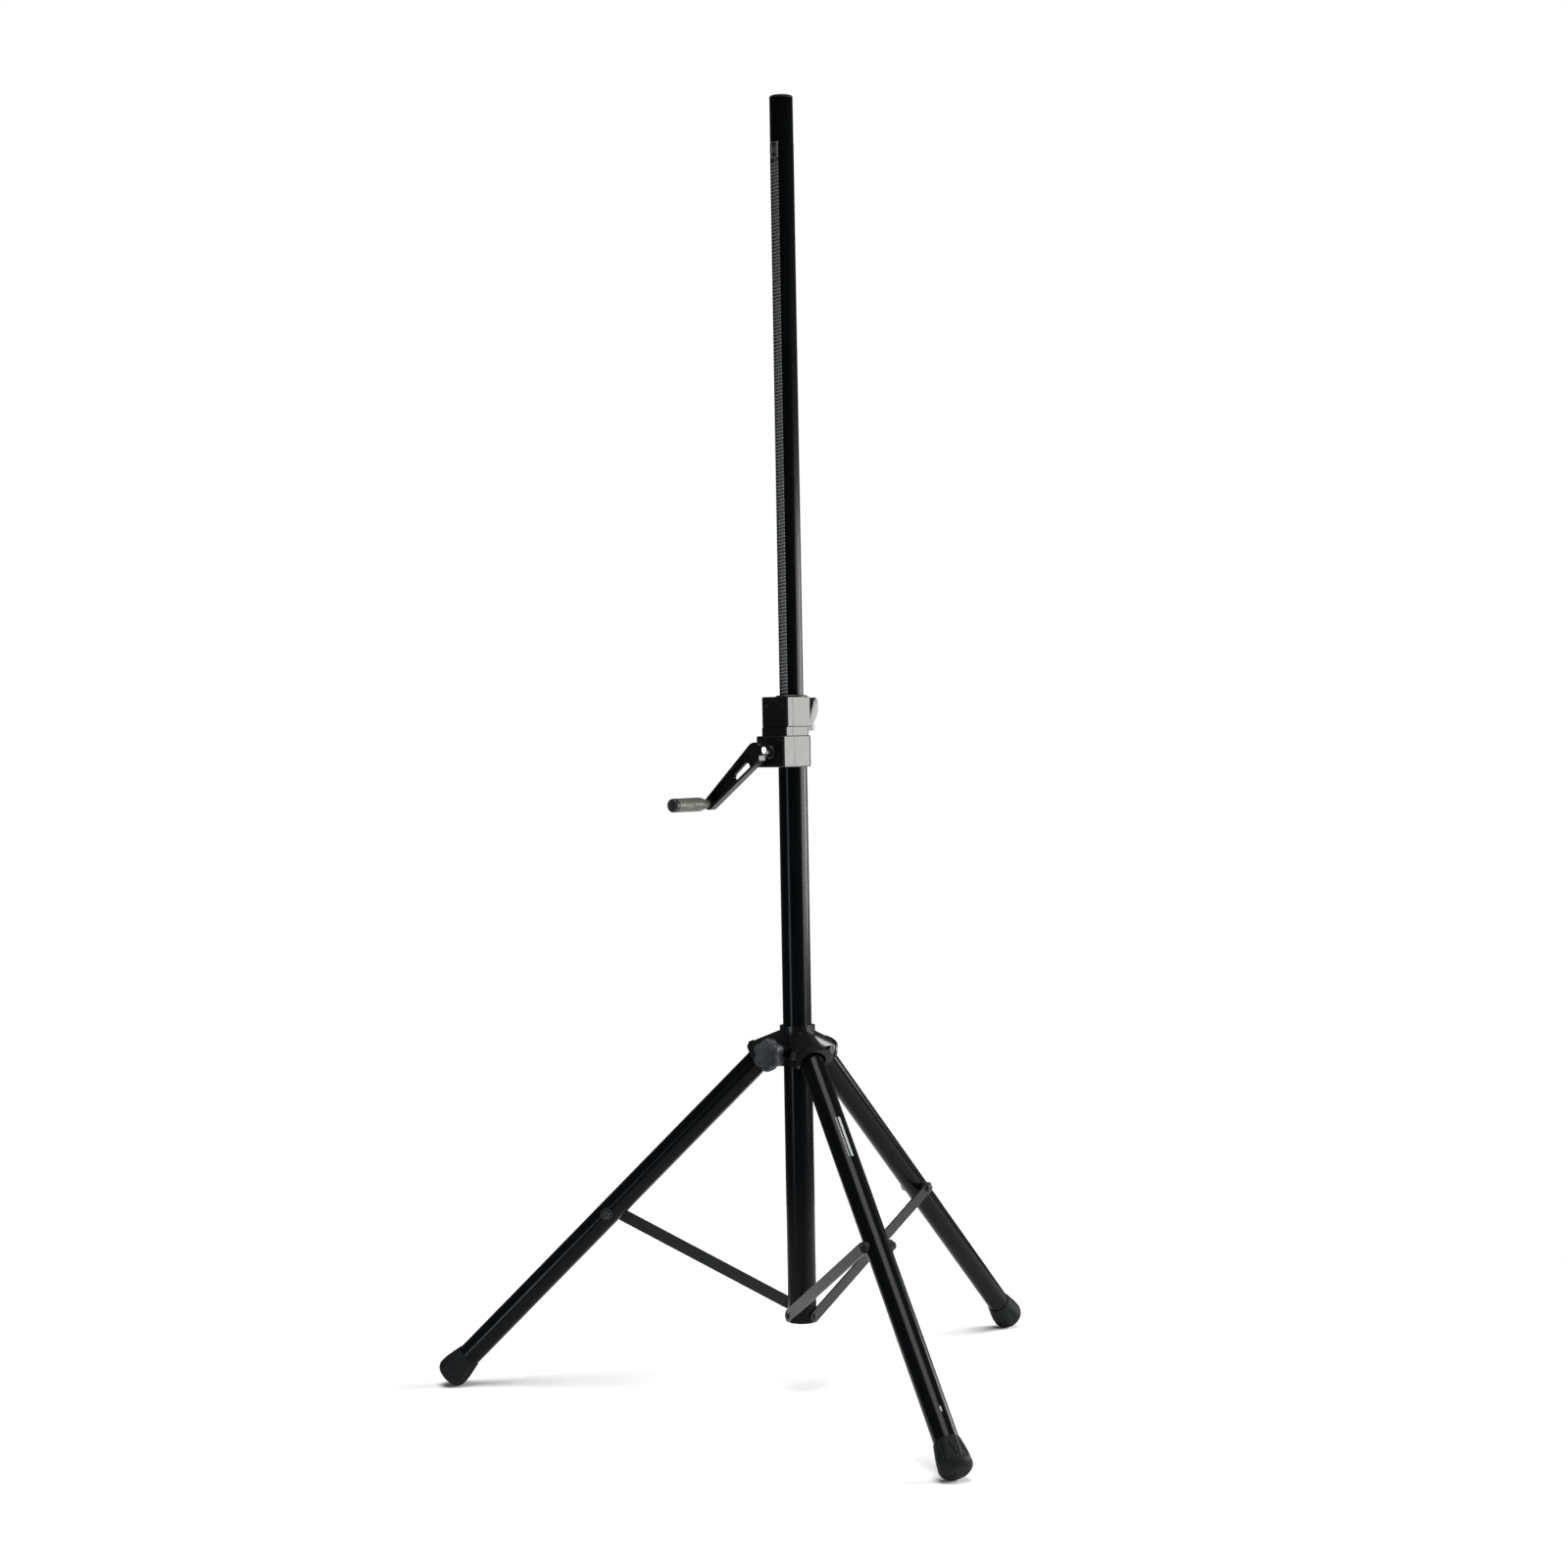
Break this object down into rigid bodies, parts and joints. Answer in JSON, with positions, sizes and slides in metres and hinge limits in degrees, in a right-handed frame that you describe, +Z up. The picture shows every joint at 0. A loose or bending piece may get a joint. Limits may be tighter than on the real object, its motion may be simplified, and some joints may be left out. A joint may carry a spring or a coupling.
{
  "type": "speaker tripod stand",
  "caption": "Black folding tripod stand whose toothed mast is raised by a worm crank in a cast housing, with a lock lever, braced tubular legs and rubber feet.",
  "frame": {"origin": "floor level, at the middle of the box around the three feet; the column stands off it along -Y", "axes": "+Z up along the column, -Y towards the crank and the hub knob, +X to the right of someone facing the crank"},
  "size_m": [0.9826, 0.8574, 1.936],
  "materials": {
    "tube_paint": "satin black powder coat",
    "cast_paint": "satin black paint on die casting",
    "strap_paint": "satin black paint",
    "rack_steel": "dark phosphated steel, bright on the worn edges",
    "dark_steel": "bare steel with a thin oil film",
    "zinc": "bright zinc plate",
    "black_bolts": "black zinc",
    "bronze": "sintered bronze",
    "rubber": "matt rubber",
    "black_plastic": "fine-textured black nylon",
    "grip_plastic": "grey glass-filled nylon",
    "lever_plastic": "smooth black nylon"
  },
  "bodies": {
    "column": {"main_tube": "tube_paint", "tube_bottom_plug": "black_plastic", "strap_rivet_left": "black_bolts", "strap_rivet_right": "black_bolts", "strap_rivet_rear": "black_bolts", "housing_rear": "cast_paint", "housing_front": "cast_paint", "housing_screw_left": "black_bolts", "housing_screw_right": "black_bolts", "mast_bush": "black_plastic", "crank_bush": "black_plastic", "pinion_bush_left": "bronze", "pinion_bush_right": "bronze", "lever_pin": "black_bolts"},
    "mast": {"mast_tube": "tube_paint", "rack": "rack_steel", "rack_screw_lower": "black_bolts", "rack_screw_upper": "black_bolts", "mast_cap": "black_plastic", "mast_foot_bush": "black_plastic"},
    "pinion": {"pinion_shaft": "dark_steel", "drive_pinion": "dark_steel"},
    "crank": {"crank_shaft": "dark_steel", "worm": "dark_steel", "crank_arm": "cast_paint", "crank_screw": "zinc", "grip_pin": "zinc"},
    "grip": {"crank_grip": "grip_plastic", "grip_end_cap": "black_plastic"},
    "lock_lever": {"lock_lever": "lever_plastic"},
    "brake_shoe": {"brake_shoe": "black_plastic"},
    "leg_hub": {"hub_body": "cast_paint", "pivot_bolt_left": "black_bolts", "pivot_nut_left": "black_bolts", "pivot_bolt_right": "black_bolts", "pivot_nut_right": "black_bolts", "pivot_bolt_rear": "black_bolts", "pivot_nut_rear": "black_bolts"},
    "hub_knob": {"knob_stud": "dark_steel", "hub_knob": "black_plastic"},
    "leg_left": {"leg_tube_left": "tube_paint", "leg_plug_left": "black_plastic", "leg_foot_left": "rubber", "leg_bolt_left": "black_bolts"},
    "strap_left": {"strap_bar_left": "strap_paint", "strap_head_left": "black_bolts"},
    "leg_right": {"leg_tube_right": "tube_paint", "leg_plug_right": "black_plastic", "leg_foot_right": "rubber", "leg_bolt_right": "black_bolts"},
    "strap_right": {"strap_bar_right": "strap_paint", "strap_head_right": "black_bolts"},
    "leg_rear": {"leg_tube_rear": "tube_paint", "leg_plug_rear": "black_plastic", "leg_foot_rear": "rubber", "leg_bolt_rear": "black_bolts"},
    "strap_rear": {"strap_bar_rear": "strap_paint", "strap_head_rear": "black_bolts"}
  },
  "joints": [
    {"name": "crank_turn", "type": "hinge", "parent": "column", "child": "crank", "pos_m": [0, -0.13414, 0.961], "axis": [0, -1, 0], "range_deg": [-50134, 1432]},
    {"name": "mast_slide", "type": "slide", "parent": "column", "child": "mast", "axis": [0, 0, 1], "range_m": [-0.7, 0.02]},
    {"name": "pinion_turn", "type": "hinge", "parent": "column", "child": "pinion", "pos_m": [0, -0.16214, 0.9792], "axis": [1, 0, 0], "range_deg": [-3582, 103]},
    {"name": "grip_spin", "type": "hinge", "parent": "crank", "child": "grip", "pos_m": [-0.09037, -0.13414, 0.88544], "axis": [0, -1, 0], "continuous": true},
    {"name": "lever_swing", "type": "hinge", "parent": "column", "child": "lock_lever", "pos_m": [0, -0.10314, 0.997], "axis": [-1, 0, 0], "range_deg": [0, 80]},
    {"name": "shoe_slide", "type": "slide", "parent": "column", "child": "brake_shoe", "axis": [0, 1, 0], "range_m": [0, 0.0004001]},
    {"name": "hub_slide", "type": "slide", "parent": "column", "child": "leg_hub", "axis": [0, 0, 1], "range_m": [0, 0.27726]},
    {"name": "knob_turn", "type": "hinge", "parent": "leg_hub", "child": "hub_knob", "pos_m": [0, -0.13414, 0.514], "axis": [0, -1, 0], "range_deg": [0, 720]},
    {"name": "leg_fold_left", "type": "hinge", "parent": "leg_hub", "child": "leg_left", "pos_m": [-0.04157, -0.15814, 0.5115], "axis": [0.5, -0.866, 0], "range_deg": [0, 45.21]},
    {"name": "strap_fold_left", "type": "hinge", "parent": "column", "child": "strap_left", "pos_m": [0, -0.13414, 0.1165], "axis": [-0.5, 0.866, 0], "range_deg": [0, 54.34]},
    {"name": "leg_fold_right", "type": "hinge", "parent": "leg_hub", "child": "leg_right", "pos_m": [0.04157, -0.15814, 0.5115], "axis": [0.5, 0.866, 0], "range_deg": [0, 45.21]},
    {"name": "strap_fold_right", "type": "hinge", "parent": "column", "child": "strap_right", "pos_m": [0, -0.13414, 0.1165], "axis": [-0.5, -0.866, 0], "range_deg": [0, 54.34]},
    {"name": "leg_fold_rear", "type": "hinge", "parent": "leg_hub", "child": "leg_rear", "pos_m": [0, -0.08614, 0.5115], "axis": [-1, 0, 0], "range_deg": [0, 45.21]},
    {"name": "strap_fold_rear", "type": "hinge", "parent": "column", "child": "strap_rear", "pos_m": [0, -0.13414, 0.1165], "axis": [1, 0, 0], "range_deg": [0, 54.34]}
  ],
  "couplings": [
    {"joint": "mast_slide", "follows": "crank_turn", "m_per_rad": 0.0008},
    {"joint": "pinion_turn", "follows": "crank_turn", "ratio": 0.071429},
    {"joint": "shoe_slide", "follows": "lever_swing", "m_per_rad": 0.00028648},
    {"joint": "leg_fold_left", "follows": "hub_slide", "rad_per_m": 2.8453},
    {"joint": "strap_fold_left", "follows": "hub_slide", "rad_per_m": 3.4202},
    {"joint": "leg_fold_right", "follows": "hub_slide", "rad_per_m": 2.8453},
    {"joint": "strap_fold_right", "follows": "hub_slide", "rad_per_m": 3.4202},
    {"joint": "leg_fold_rear", "follows": "hub_slide", "rad_per_m": 2.8453},
    {"joint": "strap_fold_rear", "follows": "hub_slide", "rad_per_m": 3.4202}
  ]
}
